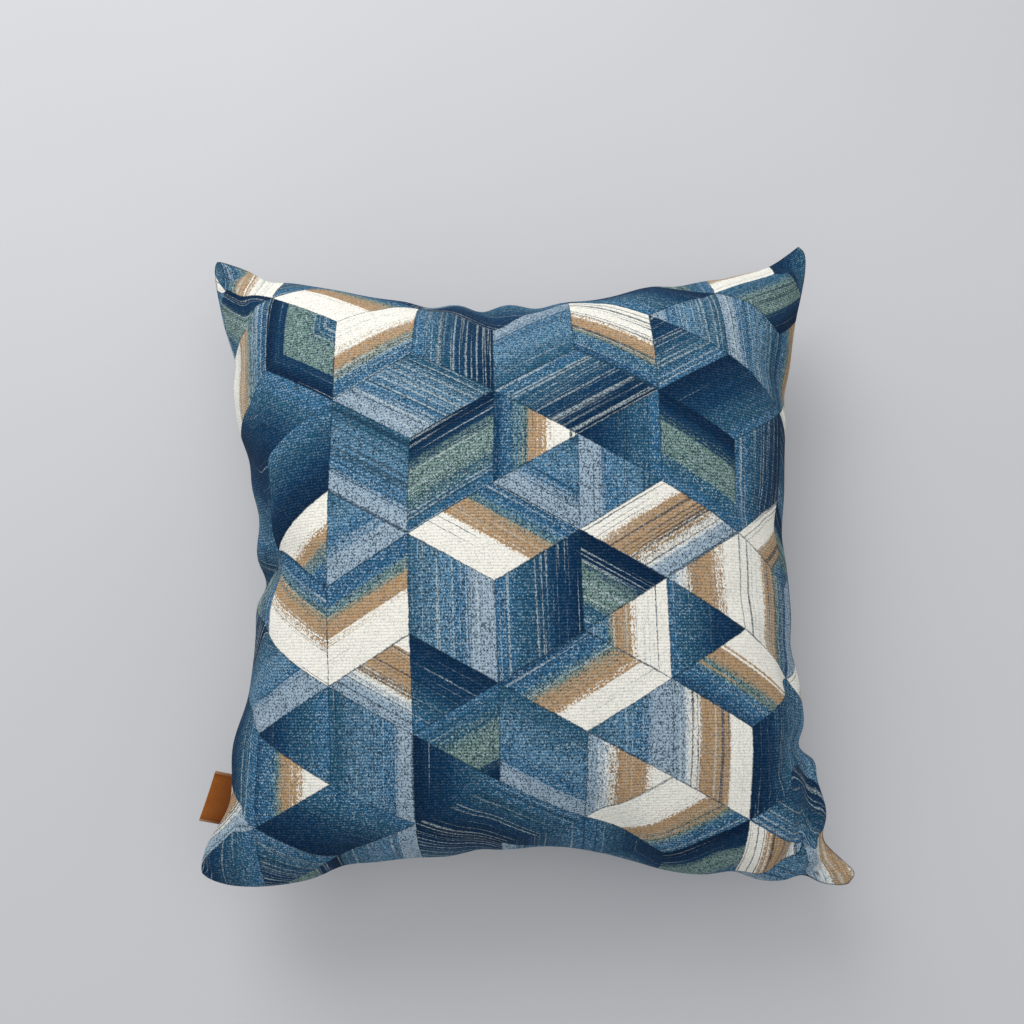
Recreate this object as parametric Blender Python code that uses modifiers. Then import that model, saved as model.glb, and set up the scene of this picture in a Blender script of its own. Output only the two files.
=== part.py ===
"""Square cushion cover, filled, lying on its back, with a folded leather label in one side seam.

Metres, +Z up. The printed face looks up, the cushion's top edge is toward +Y and the labelled
seam is toward -X. The origin is the middle of the flat patch that the cushion rests on.
"""

from collections import namedtuple
from math import cos, exp, pi, sin, sqrt

import bmesh
import bpy
from mathutils import Vector

COLLECTION_NAME = "cushion_cover"

# Driving sizes of the filled cover. Its two panels are 450 mm squares when they lie flat.
SEAM_HALF_AT_MIDDLE = 0.1643
SEAM_HALF_AT_CORNER = 0.2096
FRONT_CROWN = 0.092
BACK_CROWN = 0.082
REST_FLATTENING = 0.011
SEAM_THICKNESS = 0.0024

# The panel turns down to its seam over this extra half width, the more sharply the higher the power.
SIDE_ROLL = 0.015
SIDE_ROLL_POWER = 6

# The seam lies this high above the surface that the cushion rests on.
SEAM_HEIGHT = BACK_CROWN - REST_FLATTENING

# Grid of one panel, and how much its rows crowd toward the seams.
PANEL_STEPS = 44
EDGE_CROWDING = 1.25

# Soft bows of each side seam: where the filling pushes it out of the even form, or the cloth draws
# it in. Places and widths are shares of the half side, the outward distance is in metres.
Bow = namedtuple("Bow", "side place width out")
BOWS = [
    Bow("left", -0.67, 0.14, -0.0080),
    Bow("left", -0.22, 0.20, -0.0055),
    Bow("left", 0.16, 0.10, -0.0060),
    Bow("left", 0.50, 0.20, 0.0025),
    Bow("right", 0.00, 0.45, 0.0055),
    Bow("right", 0.75, 0.15, 0.0025),
    Bow("bottom", -0.66, 0.26, 0.0050),
    Bow("bottom", -0.15, 0.15, 0.0040),
    Bow("bottom", 0.45, 0.22, 0.0090),
    Bow("bottom", 0.68, 0.10, 0.0030),
    Bow("top", 0.00, 0.65, 0.0095),
    Bow("top", -0.60, 0.25, 0.0022),
    Bow("top", 0.48, 0.16, 0.0060),
    Bow("top", 0.85, 0.10, -0.0030),
]
BOW_POWER = 3

# The four ears: how far each tip moves, how far into the panel that reaches, and how its point is
# rounded off. Each corner is named by the signs of its panel place.
Ear = namedtuple("Ear", "s t move_x move_y lift sharpness blunt blunt_power")
EARS = [
    Ear(-1, 1, 0.0080, 0.0065, 0.0030, 3.0, 0.011, 18),
    Ear(1, 1, -0.0065, 0.0140, -0.0120, 3.0, 0.004, 24),
    Ear(-1, -1, -0.0015, 0.0115, 0.0060, 3.0, 0.031, 6),
    Ear(1, -1, -0.0055, 0.0120, -0.0040, 3.0, 0.009, 16),
]

# Soft troughs that run in from the seam where the cloth is pinched. A negative depth is a swell.
# Places and reaches are shares of a panel's half side, depths and pulls are metres.
Crease = namedtuple("Crease", "side place width reach depth pull slant front back")
CREASES = [
    Crease("left", 0.66, 0.070, 0.200, 0.005, 0.0015, -0.40, 1.0, 0.5),
    Crease("left", 0.34, 0.070, 0.220, 0.007, 0.0020, -0.25, 1.0, 0.4),
    Crease("left", -0.02, 0.050, 0.300, 0.016, 0.0055, 0.10, 1.0, 0.6),
    Crease("left", -0.38, 0.090, 0.200, 0.006, 0.0015, 0.20, 1.0, 0.7),
    Crease("top", -0.78, 0.060, 0.240, 0.007, 0.0015, -0.40, 1.0, 0.6),
    Crease("top", -0.56, 0.130, 0.300, -0.005, 0.0, -0.20, 1.0, 1.0),
    Crease("top", -0.25, 0.050, 0.160, 0.006, 0.0015, 0.10, 1.0, 0.5),
    Crease("top", -0.09, 0.045, 0.240, 0.011, 0.0030, 0.15, 1.0, 0.8),
    Crease("top", 0.08, 0.050, 0.180, 0.006, 0.0015, -0.10, 1.0, 0.5),
    Crease("top", 0.52, 0.070, 0.220, 0.007, 0.0008, 0.35, 1.0, 0.6),
    Crease("right", 0.52, 0.060, 0.220, 0.008, 0.0, 0.30, 1.0, 0.6),
    Crease("right", 0.10, 0.080, 0.180, 0.005, 0.0015, 0.10, 1.0, 0.5),
    Crease("right", -0.24, 0.060, 0.200, 0.006, 0.0020, -0.10, 0.8, 1.0),
    Crease("right", -0.55, 0.055, 0.260, 0.012, 0.0045, -0.35, 1.0, 0.4),
    Crease("right", -0.84, 0.050, 0.120, 0.004, 0.0030, 0.0, 1.0, 0.5),
    Crease("bottom", -0.50, 0.070, 0.220, 0.007, 0.0020, 0.30, 1.0, 0.7),
    Crease("bottom", -0.12, 0.060, 0.200, 0.008, 0.0025, 0.10, 1.0, 0.8),
    Crease("bottom", 0.30, 0.060, 0.240, 0.009, 0.0, -0.20, 1.0, 0.6),
    Crease("bottom", 0.62, 0.060, 0.240, 0.008, 0.0020, -0.35, 1.0, 0.6),
    Crease("bottom", 0.83, 0.040, 0.120, 0.004, 0.0030, 0.0, 1.0, 0.5),
]

# A trough widens by this share of its distance from the seam, rises from the seam with this power
# of the fullness, and pulls the seam line in over this reach.
CREASE_WIDENING = 0.25
CREASE_RISE = 0.35
PULL_REACH = 0.08

# Soft hollows that run in along the diagonal from each corner to the filling.
Hollow = namedtuple("Hollow", "s t place length width depth")
EAR_HOLLOWS = [
    Hollow(-1, 1, 0.80, 0.10, 0.16, 0.006),
    Hollow(1, 1, 0.78, 0.12, 0.18, 0.008),
    Hollow(-1, -1, 0.80, 0.10, 0.16, 0.005),
    Hollow(1, -1, 0.80, 0.11, 0.18, 0.007),
]

# The label: one strip folded in two across its length, both ends at the left seam.
LABEL_ALONG_SEAM = 0.0305
LABEL_REACH = 0.012
LABEL_LEATHER = 0.0012
LABEL_LAYER_GAP = 0.0004
LABEL_PLACE = -0.67
LABEL_STEPS = 8
FOLD_STEPS = 6
SEAM_CLEARANCE = 0.0003

FOLD_RADIUS = (LABEL_LEATHER + LABEL_LAYER_GAP) / 2.0
FOLD_TURN = pi * FOLD_RADIUS
LEG_LENGTH = LABEL_REACH - FOLD_RADIUS - LABEL_LEATHER / 2.0

CLOTH_COLOUR = (0.138, 0.202, 0.242, 1.0)
CLOTH_ROUGHNESS = 0.85
LEATHER_COLOUR = (0.342, 0.107, 0.025, 1.0)
LEATHER_ROUGHNESS = 0.5


def side_coordinates(side, s, t):
    """Where (s, t) lies from one side seam: place along it and distance in from it."""
    if side == "left":
        return t, 1.0 + s
    if side == "right":
        return t, 1.0 - s
    if side == "bottom":
        return s, 1.0 + t
    return s, 1.0 - t


def inward(side):
    """The direction from one side seam toward the middle of the cushion."""
    if side == "left":
        return Vector((1.0, 0.0, 0.0))
    if side == "right":
        return Vector((-1.0, 0.0, 0.0))
    if side == "bottom":
        return Vector((0.0, 1.0, 0.0))
    return Vector((0.0, -1.0, 0.0))


def bell(offset):
    """A smooth bump, 1 at no offset and almost 0 from an offset of 2."""
    return exp(-offset * offset)


def even_place(across, along):
    """Where a panel place lies across the cushion, before any pinch: sides drawn in between ears."""
    middle = SEAM_HALF_AT_MIDDLE + SIDE_ROLL
    spread = (SEAM_HALF_AT_CORNER - middle) * along ** 2
    roll = SIDE_ROLL * (1.0 - along ** 2) * abs(across) ** SIDE_ROLL_POWER
    return across * (middle + spread - roll)


def crease_depth(s, t, is_front):
    """How deep the soft troughs and hollows are at (s, t)."""
    depth = 0.0
    for crease in CREASES:
        along, distance = side_coordinates(crease.side, s, t)
        offset = along - crease.place - crease.slant * distance
        width = crease.width + CREASE_WIDENING * distance
        share = crease.front if is_front else crease.back
        depth += share * crease.depth * bell(offset / width) * bell(distance / crease.reach)
    for hollow in EAR_HOLLOWS:
        forward = (s * hollow.s + t * hollow.t) / 2.0
        sideways = (s * hollow.s - t * hollow.t) / 2.0
        along_share = bell((forward - hollow.place) / hollow.length)
        depth += hollow.depth * along_share * bell(sideways / hollow.width)
    return depth


def seam_pull(s, t):
    """How the bows and pinches of the four seams move a point in the plane."""
    move = Vector((0.0, 0.0, 0.0))
    for bow in BOWS:
        along, distance = side_coordinates(bow.side, s, t)
        share = bell((along - bow.place) / bow.width) * max(0.0, 1.0 - distance) ** BOW_POWER
        move -= inward(bow.side) * bow.out * share
    for crease in CREASES:
        along, distance = side_coordinates(crease.side, s, t)
        share = bell((along - crease.place) / crease.width) * bell(distance / PULL_REACH)
        move += inward(crease.side) * crease.pull * share
    return move


def ear_move(s, t):
    """How the ears bend: each tip moves, and its point is rounded off."""
    move = Vector((0.0, 0.0, 0.0))
    for ear in EARS:
        toward = max(0.0, s * ear.s) * max(0.0, t * ear.t)
        move += Vector((ear.move_x, ear.move_y, ear.lift)) * toward ** ear.sharpness
        rounding = ear.blunt / sqrt(2.0) * toward ** ear.blunt_power
        move -= Vector((ear.s, ear.t, 0.0)) * rounding
    return move


def cover_point(s, t, is_front):
    """A point of the filled cover for a place (s, t) on its flat panel, both from -1 to 1."""
    fullness = sqrt(max(0.0, (1.0 - s * s) * (1.0 - t * t)))
    crown = FRONT_CROWN if is_front else BACK_CROWN
    trough = crease_depth(s, t, is_front) * fullness ** CREASE_RISE
    height = SEAM_THICKNESS / 2.0 + max(0.0, crown * fullness - trough)
    point = Vector((even_place(s, t), even_place(t, s), height if is_front else -height))
    point += seam_pull(s, t) + ear_move(s, t)
    point.z += SEAM_HEIGHT
    if not is_front:
        point.z = max(0.0, point.z)
    return point


def crowded(place):
    """Shift an even grid place from -1 to 1 toward the seams, where the form turns fastest."""
    return sin(EDGE_CROWDING * place) / sin(EDGE_CROWDING)


def seam_point(along):
    """The middle of the left seam at a place along it."""
    front = cover_point(-1.0, along, True)
    back = cover_point(-1.0, along, False)
    return (front + back) / 2.0


def label_point(reach, along, height):
    """A point of the label: reach out from the seam, distance along it, height off its plane.

    Its sewn ends follow the bow of the seam, and its folded edge is straight.
    """
    step = 0.01
    run = seam_point(LABEL_PLACE + step) - seam_point(LABEL_PLACE - step)
    half_place = LABEL_ALONG_SEAM * step / run.length
    start = seam_point(LABEL_PLACE - half_place)
    end = seam_point(LABEL_PLACE + half_place)
    share = along / LABEL_ALONG_SEAM + 0.5
    sewn = seam_point(LABEL_PLACE + (2.0 * share - 1.0) * half_place)
    root = sewn.lerp(start.lerp(end, share), min(1.0, reach / LABEL_REACH))
    outward = Vector((start.y - end.y, end.x - start.x, 0.0)).normalized()
    return root + outward * (SEAM_CLEARANCE + reach) + Vector((0.0, 0.0, height))


def fold_path(distance):
    """Reach and height at a distance along the folded strip's middle surface."""
    if distance < LEG_LENGTH:
        return distance, FOLD_RADIUS
    if distance < LEG_LENGTH + FOLD_TURN:
        angle = (distance - LEG_LENGTH) / FOLD_RADIUS
        return LEG_LENGTH + FOLD_RADIUS * sin(angle), FOLD_RADIUS * cos(angle)
    return 2.0 * LEG_LENGTH + FOLD_TURN - distance, -FOLD_RADIUS


def fold_distances():
    """Places along the strip: the ends and middles of its two legs and the steps round its fold."""
    fold = [LEG_LENGTH + FOLD_TURN * step / FOLD_STEPS for step in range(FOLD_STEPS + 1)]
    second_leg = LEG_LENGTH + FOLD_TURN
    return [0.0, LEG_LENGTH / 2.0] + fold + [second_leg + LEG_LENGTH / 2.0, second_leg + LEG_LENGTH]


def new_material(name, colour, roughness):
    """A plain Principled material."""
    material = bpy.data.materials.new(name)
    material.use_nodes = True
    shader = material.node_tree.nodes["Principled BSDF"]
    shader.inputs["Base Color"].default_value = colour
    shader.inputs["Roughness"].default_value = roughness
    shader.inputs["Metallic"].default_value = 0.0
    return material


def new_object(name, bm, material, collection):
    """Turn a finished bmesh into a named, smooth-shaded object of the collection."""
    mesh = bpy.data.meshes.new(name)
    bm.to_mesh(mesh)
    bm.free()
    mesh.shade_smooth()
    mesh.materials.append(material)
    piece = bpy.data.objects.new(name, mesh)
    collection.objects.link(piece)
    return piece


def make_cover(collection):
    """The filled cover: two square panels, joined by the narrow rim of their seam."""
    bm = bmesh.new()
    bmesh.ops.create_grid(bm, x_segments=PANEL_STEPS, y_segments=PANEL_STEPS, size=1.0)
    raised = bmesh.ops.extrude_face_region(bm, geom=bm.faces[:])
    front = {item for item in raised["geom"] if isinstance(item, bmesh.types.BMVert)}
    for vertex in bm.verts:
        s = crowded(vertex.co.x)
        t = crowded(vertex.co.y)
        vertex.co = cover_point(s, t, vertex in front)
    bmesh.ops.recalc_face_normals(bm, faces=bm.faces[:])
    material = new_material("printed_cloth", CLOTH_COLOUR, CLOTH_ROUGHNESS)
    return new_object("cover", bm, material, collection)


def make_side_label(collection):
    """The leather strip, folded in two with both ends at the left seam."""
    distances = fold_distances()
    last = len(distances) - 1
    bm = bmesh.new()
    bmesh.ops.create_grid(bm, x_segments=last, y_segments=LABEL_STEPS, size=0.5)
    for vertex in bm.verts:
        reach, height = fold_path(distances[round((vertex.co.x + 0.5) * last)])
        vertex.co = label_point(reach, vertex.co.y * LABEL_ALONG_SEAM, height)
    material = new_material("label_leather", LEATHER_COLOUR, LEATHER_ROUGHNESS)
    label = new_object("side_label", bm, material, collection)
    shell = label.modifiers.new("leather", "SOLIDIFY")
    shell.thickness = LABEL_LEATHER
    shell.offset = 0.0
    return label


def main():
    """Clear the scene and make the cushion cover's pieces."""
    for item in list(bpy.data.objects):
        bpy.data.objects.remove(item, do_unlink=True)
    collection = bpy.data.collections.new(COLLECTION_NAME)
    bpy.context.scene.collection.children.link(collection)
    make_cover(collection)
    make_side_label(collection)


main()
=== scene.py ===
"""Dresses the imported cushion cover: printed, filled cloth, a knife-edge seam and a leather label.

Metres, +Z out of the printed face, +Y toward the cushion's top edge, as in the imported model.
"""

from collections import namedtuple
from math import cos, exp, pi, radians, sin, sqrt

import bmesh
import bpy
import numpy as np
from bpy.props import FloatProperty, FloatVectorProperty, IntProperty, PointerProperty
from mathutils import Matrix, Vector, noise


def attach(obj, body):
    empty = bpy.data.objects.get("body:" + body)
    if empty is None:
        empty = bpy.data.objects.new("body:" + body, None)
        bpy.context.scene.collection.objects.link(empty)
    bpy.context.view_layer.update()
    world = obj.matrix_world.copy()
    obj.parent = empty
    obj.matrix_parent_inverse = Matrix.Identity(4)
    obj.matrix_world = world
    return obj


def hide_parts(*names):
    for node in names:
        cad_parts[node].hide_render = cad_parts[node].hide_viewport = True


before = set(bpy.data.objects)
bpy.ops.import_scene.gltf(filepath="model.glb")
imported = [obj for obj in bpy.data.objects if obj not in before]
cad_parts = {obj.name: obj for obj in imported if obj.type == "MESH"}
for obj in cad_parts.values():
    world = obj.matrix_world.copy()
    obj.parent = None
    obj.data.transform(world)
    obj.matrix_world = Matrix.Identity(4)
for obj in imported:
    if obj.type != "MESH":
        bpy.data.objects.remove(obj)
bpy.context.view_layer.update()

bl_info = {
    "name": "Cushion cover",
    "version": (1, 0, 0),
    "blender": (4, 5, 0),
    "location": "3D View > Sidebar > Cushion",
    "description": "Makes a filled, printed cushion cover with a folded leather side label",
    "category": "Add Mesh",
}

MILLIMETRE = 0.001
COVER_NODE = "cover"
LABEL_NODE = "side_label"
CLOTH_MAP = "flat_cloth"
PANEL_PLACE = "flat"
FROM_SEAM = "from_seam"
LABEL_MAP = "flat_strip"

# How near the panel points are that the seam joins, where a place counts as on the seam, and how
# sharp the seam stays when the cloth is made finer.
WELD = 0.0002
ON_SEAM = 0.99999
SEAM_CREASE = 0.9

# How far round the seam, in flat sides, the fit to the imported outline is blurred, how near the ears
# its gathers fade, and how far smoothing draws it in. How far in from the seam, in half sides, its
# pinches reach, how sharply its lip begins, and how softly the back turns up from the floor.
OUTLINE_BLUR = 0.06
EAR_SHARE = 0.08
SEAM_EASE = 0.0010
PINCH_REACH = 0.10
LIP_POWER = 1.3
REST_SOFTNESS = 0.002

# Small lumps of the filling: their height, how many there are in a half side, the front's place in
# the noise, and how fast they come in from the seam.
LUMP_HEIGHT = 0.0012
LUMPS = 5.0
LUMP_SEED = 3.3
LUMP_EASE = 4.0

# How the cloth settles: its weight at a point, and how it stretches, shears and bends.
CLOTH_SETTINGS = {
    "quality": 5, "mass": 0.0004, "air_damping": 2.0,
    "tension_stiffness": 40.0, "compression_stiffness": 10.0,
    "shear_stiffness": 2.0, "bending_stiffness": 2.0,
    "tension_damping": 5.0, "compression_damping": 5.0,
    "shear_damping": 5.0, "bending_damping": 0.5,
}

# The label: space between its layers, how far its ends go into the seam, how its layers bow apart
# and how it bends. Its rows from the first share of them to the second go round its fold.
LABEL_LAYER_GAP = 0.0004
LABEL_TUCK = 0.0015
LABEL_STEPS = 12
LABEL_FOLD_STEPS = 24
LABEL_FOLD_START, LABEL_FOLD_END = 0.25, 0.75
LABEL_BOW = 0.0006
LABEL_SWING = -0.25
LABEL_CURL = 0.0008
LABEL_LEAN = -0.12
LABEL_EASED_EDGE = 0.0002

# The cover's form before it settles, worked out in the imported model's way from rows of its own: how
# its sides roll and bow, how its creases widen, rise and pull, and its grid's crowding at the seam.
SIDE_ROLL = 0.015
SIDE_ROLL_POWER = 6
EDGE_CROWDING = 1.38
CREASE_WIDENING = 0.25
CREASE_RISE = 0.35
PULL_REACH = 0.08
BOW_POWER = 3
INWARD = {
    "left": Vector((1.0, 0.0, 0.0)),
    "right": Vector((-1.0, 0.0, 0.0)),
    "bottom": Vector((0.0, 1.0, 0.0)),
    "top": Vector((0.0, -1.0, 0.0)),
}

# Places, widths and reaches are shares of a panel's half side. Depths, pulls and moves are metres.
Bow = namedtuple("Bow", "side place width out")
BOWS = [
    Bow("left", -0.67, 0.14, -0.0080),
    Bow("left", -0.22, 0.20, -0.0055),
    Bow("left", 0.16, 0.10, -0.0060),
    Bow("left", 0.50, 0.20, 0.0025),
    Bow("right", 0.00, 0.45, 0.0055),
    Bow("right", 0.75, 0.15, -0.0008),
    Bow("right", -0.58, 0.03, 0.0030),
    Bow("right", -0.94, 0.04, 0.0045),
    Bow("bottom", -0.66, 0.26, 0.0050),
    Bow("bottom", -0.15, 0.15, 0.0040),
    Bow("bottom", 0.45, 0.22, 0.0090),
    Bow("bottom", 0.68, 0.10, 0.0030),
    Bow("top", 0.00, 0.65, 0.0095),
    Bow("top", -0.60, 0.25, 0.0022),
    Bow("top", 0.48, 0.16, 0.0060),
    Bow("top", 0.85, 0.10, -0.0042),
]

Ear = namedtuple("Ear", "s t move_x move_y lift sharpness blunt blunt_power")
EARS = [
    Ear(-1, 1, 0.0080, 0.0065, 0.0030, 3.0, 0.011, 18),
    Ear(1, 1, -0.0005, 0.0225, -0.0120, 4.0, 0.018, 20),
    Ear(-1, -1, -0.0015, 0.0115, 0.0060, 3.0, 0.031, 6),
    Ear(1, -1, -0.0055, 0.0120, -0.0040, 3.0, 0.009, 16),
]

Crease = namedtuple("Crease", "side place width reach depth pull slant front back")
CREASES = [
    Crease("left", 0.66, 0.070, 0.200, 0.005, 0.0015, -0.40, 1.0, 0.5),
    Crease("left", 0.34, 0.070, 0.220, 0.007, 0.0020, -0.25, 1.0, 0.4),
    Crease("left", -0.02, 0.050, 0.300, 0.016, 0.0055, 0.10, 1.0, 0.6),
    Crease("left", -0.38, 0.090, 0.200, 0.006, 0.0015, 0.20, 1.0, 0.7),
    Crease("top", -0.78, 0.060, 0.240, 0.007, 0.0015, -0.40, 1.0, 0.6),
    Crease("top", -0.56, 0.130, 0.300, -0.005, 0.0, -0.20, 1.0, 1.0),
    Crease("top", -0.25, 0.050, 0.160, 0.006, 0.0015, 0.10, 1.0, 0.5),
    Crease("top", -0.09, 0.045, 0.240, 0.011, 0.0030, 0.15, 1.0, 0.8),
    Crease("top", 0.08, 0.050, 0.180, 0.006, 0.0015, -0.10, 1.0, 0.5),
    Crease("top", 0.52, 0.070, 0.220, 0.007, 0.0008, 0.35, 1.0, 0.6),
    Crease("right", 0.52, 0.060, 0.220, 0.008, 0.0, 0.30, 1.0, 0.6),
    Crease("right", 0.10, 0.080, 0.180, 0.005, 0.0015, 0.10, 1.0, 0.5),
    Crease("right", -0.24, 0.060, 0.200, 0.006, 0.0020, -0.10, 0.8, 1.0),
    Crease("right", -0.53, 0.045, 0.260, 0.012, 0.0036, -0.35, 1.0, 0.4),
    Crease("right", -0.82, 0.060, 0.120, 0.004, 0.0075, 0.0, 1.0, 0.5),
    Crease("bottom", -0.50, 0.070, 0.220, 0.007, 0.0020, 0.30, 1.0, 0.7),
    Crease("bottom", -0.12, 0.060, 0.200, 0.008, 0.0025, 0.10, 1.0, 0.8),
    Crease("bottom", 0.30, 0.060, 0.240, 0.009, 0.0, -0.20, 1.0, 0.6),
    Crease("bottom", 0.62, 0.060, 0.240, 0.008, 0.0020, -0.35, 1.0, 0.6),
    Crease("bottom", 0.83, 0.040, 0.120, 0.004, 0.0030, 0.0, 1.0, 0.5),
]

Hollow = namedtuple("Hollow", "s t place length width depth")
EAR_HOLLOWS = [
    Hollow(-1, 1, 0.80, 0.10, 0.16, 0.006),
    Hollow(1, 1, 0.78, 0.12, 0.18, 0.008),
    Hollow(-1, -1, 0.80, 0.10, 0.16, 0.005),
    Hollow(1, -1, 0.80, 0.11, 0.18, 0.004),
]

# Sharp steps where the body's roundness ends and an ear's flat cloth begins, each along a line from
# one panel place to another. Just beyond the line this share of the front's height over the seam is
# gone, and it comes back slowly. The last row is the tuck in the left seam.
FOLD_END_REACH = 0.05
Fold = namedtuple("Fold", "s t end_s end_t near far share")
FOLDS = [
    Fold(-0.83, 1.00, -1.00, 0.83, 0.012, 0.20, 0.75),
    Fold(1.00, 0.84, 0.83, 1.00, 0.012, 0.20, 0.75),
    Fold(-1.00, -0.86, -0.88, -1.00, 0.020, 0.16, 0.35),
    Fold(0.79, -1.00, 1.00, -0.79, 0.012, 0.20, 0.70),
    Fold(0.72, -0.92, 0.94, -0.58, 0.020, 0.14, 0.38),
    Fold(0.94, -0.58, 0.84, -0.38, 0.020, 0.10, 0.30),
    Fold(-1.00, 0.02, -0.86, 0.02, 0.020, 0.06, 0.40),
]

# The back panel's place on the cloth is this far from the front's, so the print breaks at the seam.
BACK_PANEL_SHIFT = 1.0

# The print: where it starts on the cloth, how far the weave shakes its edges, the share of its
# blocks that is halved into two triangles, and the width, unevenness, softness and strength of the
# pen line round each.
PRINT_START = (0.011, 0.017, 0.0)
PRINT_SHAKE = 0.0011
HALVED_BLOCKS = 0.28
PEN_WIDTH = 0.00025
PEN_SHAKE = 0.0002
PEN_SOFTNESS = 0.0003
PEN_SHARE = 0.6

# Brush streaks along a block's bands, the softness of their edges, and how far a block's column,
# row and face move them. The seed keeps each kind's noise apart from the others'.
Streak = namedtuple("Streak", "width length seed")
BROAD_STREAKS = Streak(0.0045, 0.30, 1.3)
FINE_STREAKS = Streak(0.0013, 0.16, 4.1)
DRY_STREAKS = Streak(0.0014, 0.14, 8.7)
INK_STREAKS = Streak(0.0016, 0.20, 15.2)
STREAK_SOFTNESS = 0.06
BLOCK_SEEDS = (7.13, 11.7, 3.9)

# What the bands of a block run through, from side to side. A block takes the last kind whose lot,
# from 0 to 1, is below its own.
BANDS = (
    (0.00, ((0.00, "deep_navy"), (0.45, "navy"), (0.80, "steel"), (1.00, "mid_blue"))),
    (0.34, ((0.00, "grey_blue"), (0.30, "grey_blue"), (0.34, "mid_blue"), (0.60, "soft_blue"),
            (1.00, "steel"))),
    (0.50, ((0.00, "mid_blue"), (0.26, "steel"), (0.42, "sage"), (0.72, "sage"), (0.78, "navy"),
            (1.00, "deep_navy"))),
    (0.66, ((0.00, "navy"), (0.24, "mid_blue"), (0.40, "sage"), (0.46, "tan"), (0.66, "tan"),
            (0.70, "cream"), (1.00, "cream"))),
    (0.88, ((0.00, "cream"), (0.30, "cream"), (0.34, "tan"), (0.66, "tan"), (0.70, "ochre"),
            (0.78, "cream"), (0.90, "grey_blue"))),
)

# The weave: how far its rows waver, and the heights of its relief in millimetres. The seam puckers
# the cloth this far in, and its line is a groove, with painted shade darkening it to a share of the
# print's brightness.
ROW_WAVER = 0.0006
RIB_RELIEF = 0.12
YARN_RELIEF = 0.06
FLECK_RELIEF = 0.12
PUCKER_RELIEF = 2.2
PUCKER_REACH = 0.022
SEAM_GROOVE = -0.9
SEAM_GROOVE_REACH = 0.0022
SEAM_PAINTED_SHADE = 0.40

# The leather's tones, as shares of its red, green and blue: the dark one for its burnished edges,
# grain creases and painted shade, the pale one for a painted highlight at the fold, the light one for
# its mottle.
LEATHER_DARK_AND_SHADE = (0.42, 0.36, 0.34)
LEATHER_PAINTED_HIGHLIGHT = (1.8, 2.8, 8.0)
LEATHER_LIGHT = (1.2, 1.3, 1.4)

# The stage: the floor lies just under the cushion, and both lights look at the same point. A
# light's share is of the key light's power.
FLOOR_HALF_SIDE = 4.0
FLOOR_DROP = 0.0005
LIT_POINT = (0.0, 0.0, 0.05)
SKY_COLOUR = (0.93, 0.96, 1.0, 1.0)
Light = namedtuple("Light", "name place size share")
LIGHTS = (
    Light("window", (-0.55, 1.15, 1.15), 1.0, 1.0),
    Light("ceiling", (0.2, 0.1, 1.9), 1.6, 0.45),
)


def srgb(red, green, blue):
    """A colour given in 0 to 255 screen values, as the linear colour that a shader takes."""
    def linear(value):
        share = value / 255.0
        if share <= 0.04045:
            return share / 12.92
        return ((share + 0.055) / 1.055) ** 2.4
    return (linear(red), linear(green), linear(blue), 1.0)


def colour_property(name, description, colour):
    """A colour that the sidebar shows."""
    return FloatVectorProperty(
        name=name, description=description, default=colour,
        subtype="COLOR", size=4, min=0.0, max=1.0,
    )


def length_property(name, description, default, low, high):
    """A length that the sidebar shows."""
    return FloatProperty(
        name=name, description=description, default=default, min=low, max=high, unit="LENGTH"
    )


class CushionCoverSettings(bpy.types.PropertyGroup):
    """Sizes and filling of the cover."""

    flat_side: length_property(
        "Flat side", "Side of each square panel when it lies flat", 0.45, 0.3, 0.6)
    seam_half_at_middle: length_property(
        "Half width at middle", "From the centre to the middle of a side seam", 0.1643, 0.1, 0.3)
    seam_half_at_corner: length_property(
        "Half width at corner", "From the centre line to the tip of an ear", 0.2096, 0.1, 0.3)
    front_crown: length_property(
        "Front crown", "Height of the printed face above the seam", 0.092, 0.02, 0.2)
    back_crown: length_property(
        "Back crown", "Depth of the back below the seam before it rests", 0.082, 0.02, 0.2)
    rest_flattening: length_property(
        "Flattening", "How far the back is pressed in where it rests", 0.011, 0.0, 0.03)
    panel_steps: IntProperty(
        name="Panel steps", description="Grid squares along one side of a panel",
        default=96, min=16, max=120,
    )
    fill_pressure: FloatProperty(
        name="Fill pressure", description="How hard the filling pushes while the cloth settles",
        default=5.0, min=0.0, max=20.0,
    )
    settle_frames: IntProperty(
        name="Settling steps", description="Steps that the cloth settles for",
        default=30, min=2, max=80,
    )
    swelling: FloatProperty(
        name="Swelling", description="How much taller the cloth starts than it ends",
        default=1.12, min=1.0, max=1.5,
    )
    seam_lip: length_property(
        "Seam lip", "How far the stiff seam stands out of the rounded cloth", 0.0035, 0.0, 0.02)
    seam_lip_reach: length_property(
        "Seam lip reach", "How far into the panel the stiffness of the seam reaches",
        0.009, 0.001, 0.05)


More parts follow.
